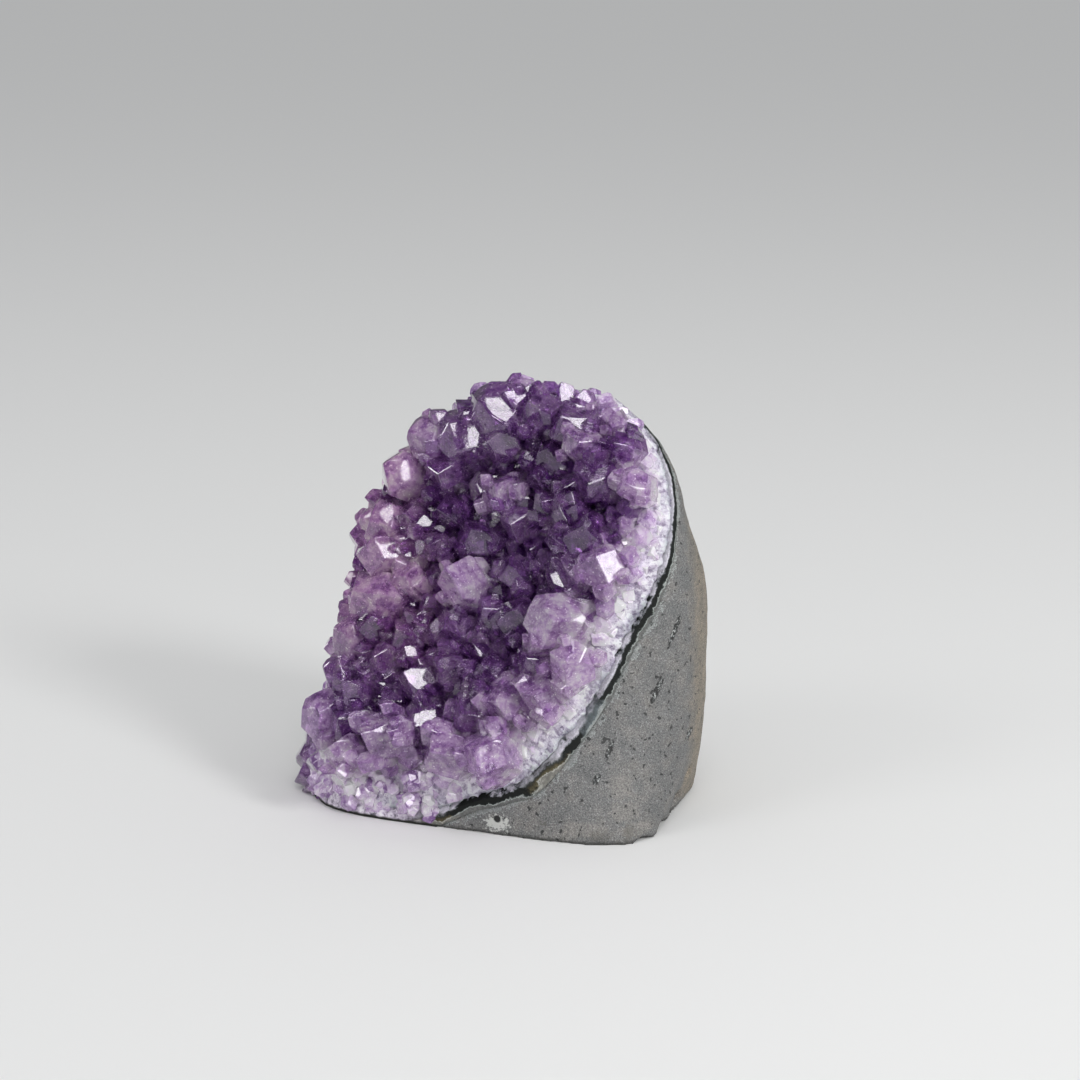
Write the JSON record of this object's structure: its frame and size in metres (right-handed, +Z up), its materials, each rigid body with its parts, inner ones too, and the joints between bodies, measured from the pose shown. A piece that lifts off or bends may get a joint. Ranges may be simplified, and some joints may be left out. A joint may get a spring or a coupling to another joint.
{
  "type": "amethyst geode",
  "caption": "Free-standing piece of geode wall: a ground basalt lump with a sawn flat base, a thin dark lining, a bed of milky quartz and an open face of pointed amethyst crystals.",
  "frame": {"origin": "on the sawn flat base, at the plane the stone stands on, near the middle of the base", "axes": "+Z up from the sawn base, +Y away from the front, +X to the right; the open crystal face looks about 27 degrees to the left of -Y and leans back about 24 degrees"},
  "size_m": [0.095, 0.0774, 0.0976],
  "materials": {
    "basalt": "ground matt stone",
    "celadonite": "dark waxy stone",
    "quartz": "cloudy, flaky milky quartz",
    "amethyst": "clear to cloudy purple crystal with glassy faces"
  },
  "bodies": {
    "root": {"basalt_matrix": "basalt", "celadonite_band": "celadonite", "quartz_bed": "quartz", "amethyst_crystal_01": "amethyst", "amethyst_crystal_02": "amethyst", "amethyst_crystal_03": "amethyst", "amethyst_crystal_04": "amethyst", "amethyst_crystal_05": "amethyst", "amethyst_crystal_06": "amethyst", "amethyst_crystal_07": "amethyst", "amethyst_crystal_08": "amethyst", "amethyst_crystal_09": "amethyst", "amethyst_crystal_10": "amethyst", "amethyst_crystal_11": "amethyst", "amethyst_crystal_12": "amethyst", "amethyst_crystal_13": "amethyst", "amethyst_crystal_14": "amethyst", "amethyst_crystal_15": "amethyst", "amethyst_crystal_16": "amethyst", "amethyst_crystal_17": "amethyst", "amethyst_crystal_18": "amethyst", "amethyst_crystal_19": "amethyst", "amethyst_crystal_20": "amethyst", "amethyst_crystal_21": "amethyst", "amethyst_crystal_22": "amethyst", "amethyst_crystal_23": "amethyst", "amethyst_crystal_24": "amethyst", "amethyst_crystal_25": "amethyst", "amethyst_crystal_26": "amethyst", "amethyst_crystal_27": "amethyst", "amethyst_crystal_28": "amethyst", "amethyst_crystal_29": "amethyst", "amethyst_crystal_30": "amethyst", "amethyst_crystal_31": "amethyst", "amethyst_crystal_32": "amethyst", "amethyst_crystal_33": "amethyst", "amethyst_crystal_34": "amethyst", "amethyst_crystal_35": "amethyst", "amethyst_crystal_36": "amethyst", "amethyst_crystal_37": "amethyst", "amethyst_crystal_38": "amethyst", "amethyst_crystal_39": "amethyst", "amethyst_crystal_40": "amethyst", "amethyst_crystal_41": "amethyst", "amethyst_crystal_42": "amethyst", "amethyst_crystal_43": "amethyst", "amethyst_crystal_44": "amethyst", "amethyst_crystal_45": "amethyst", "amethyst_crystal_46": "amethyst", "amethyst_crystal_47": "amethyst", "amethyst_crystal_48": "amethyst", "amethyst_crystal_49": "amethyst", "amethyst_crystal_50": "amethyst", "amethyst_crystal_51": "amethyst", "amethyst_crystal_52": "amethyst", "amethyst_crystal_53": "amethyst", "amethyst_crystal_54": "amethyst", "amethyst_crystal_55": "amethyst", "amethyst_crystal_56": "amethyst"}
  },
  "joints": []
}
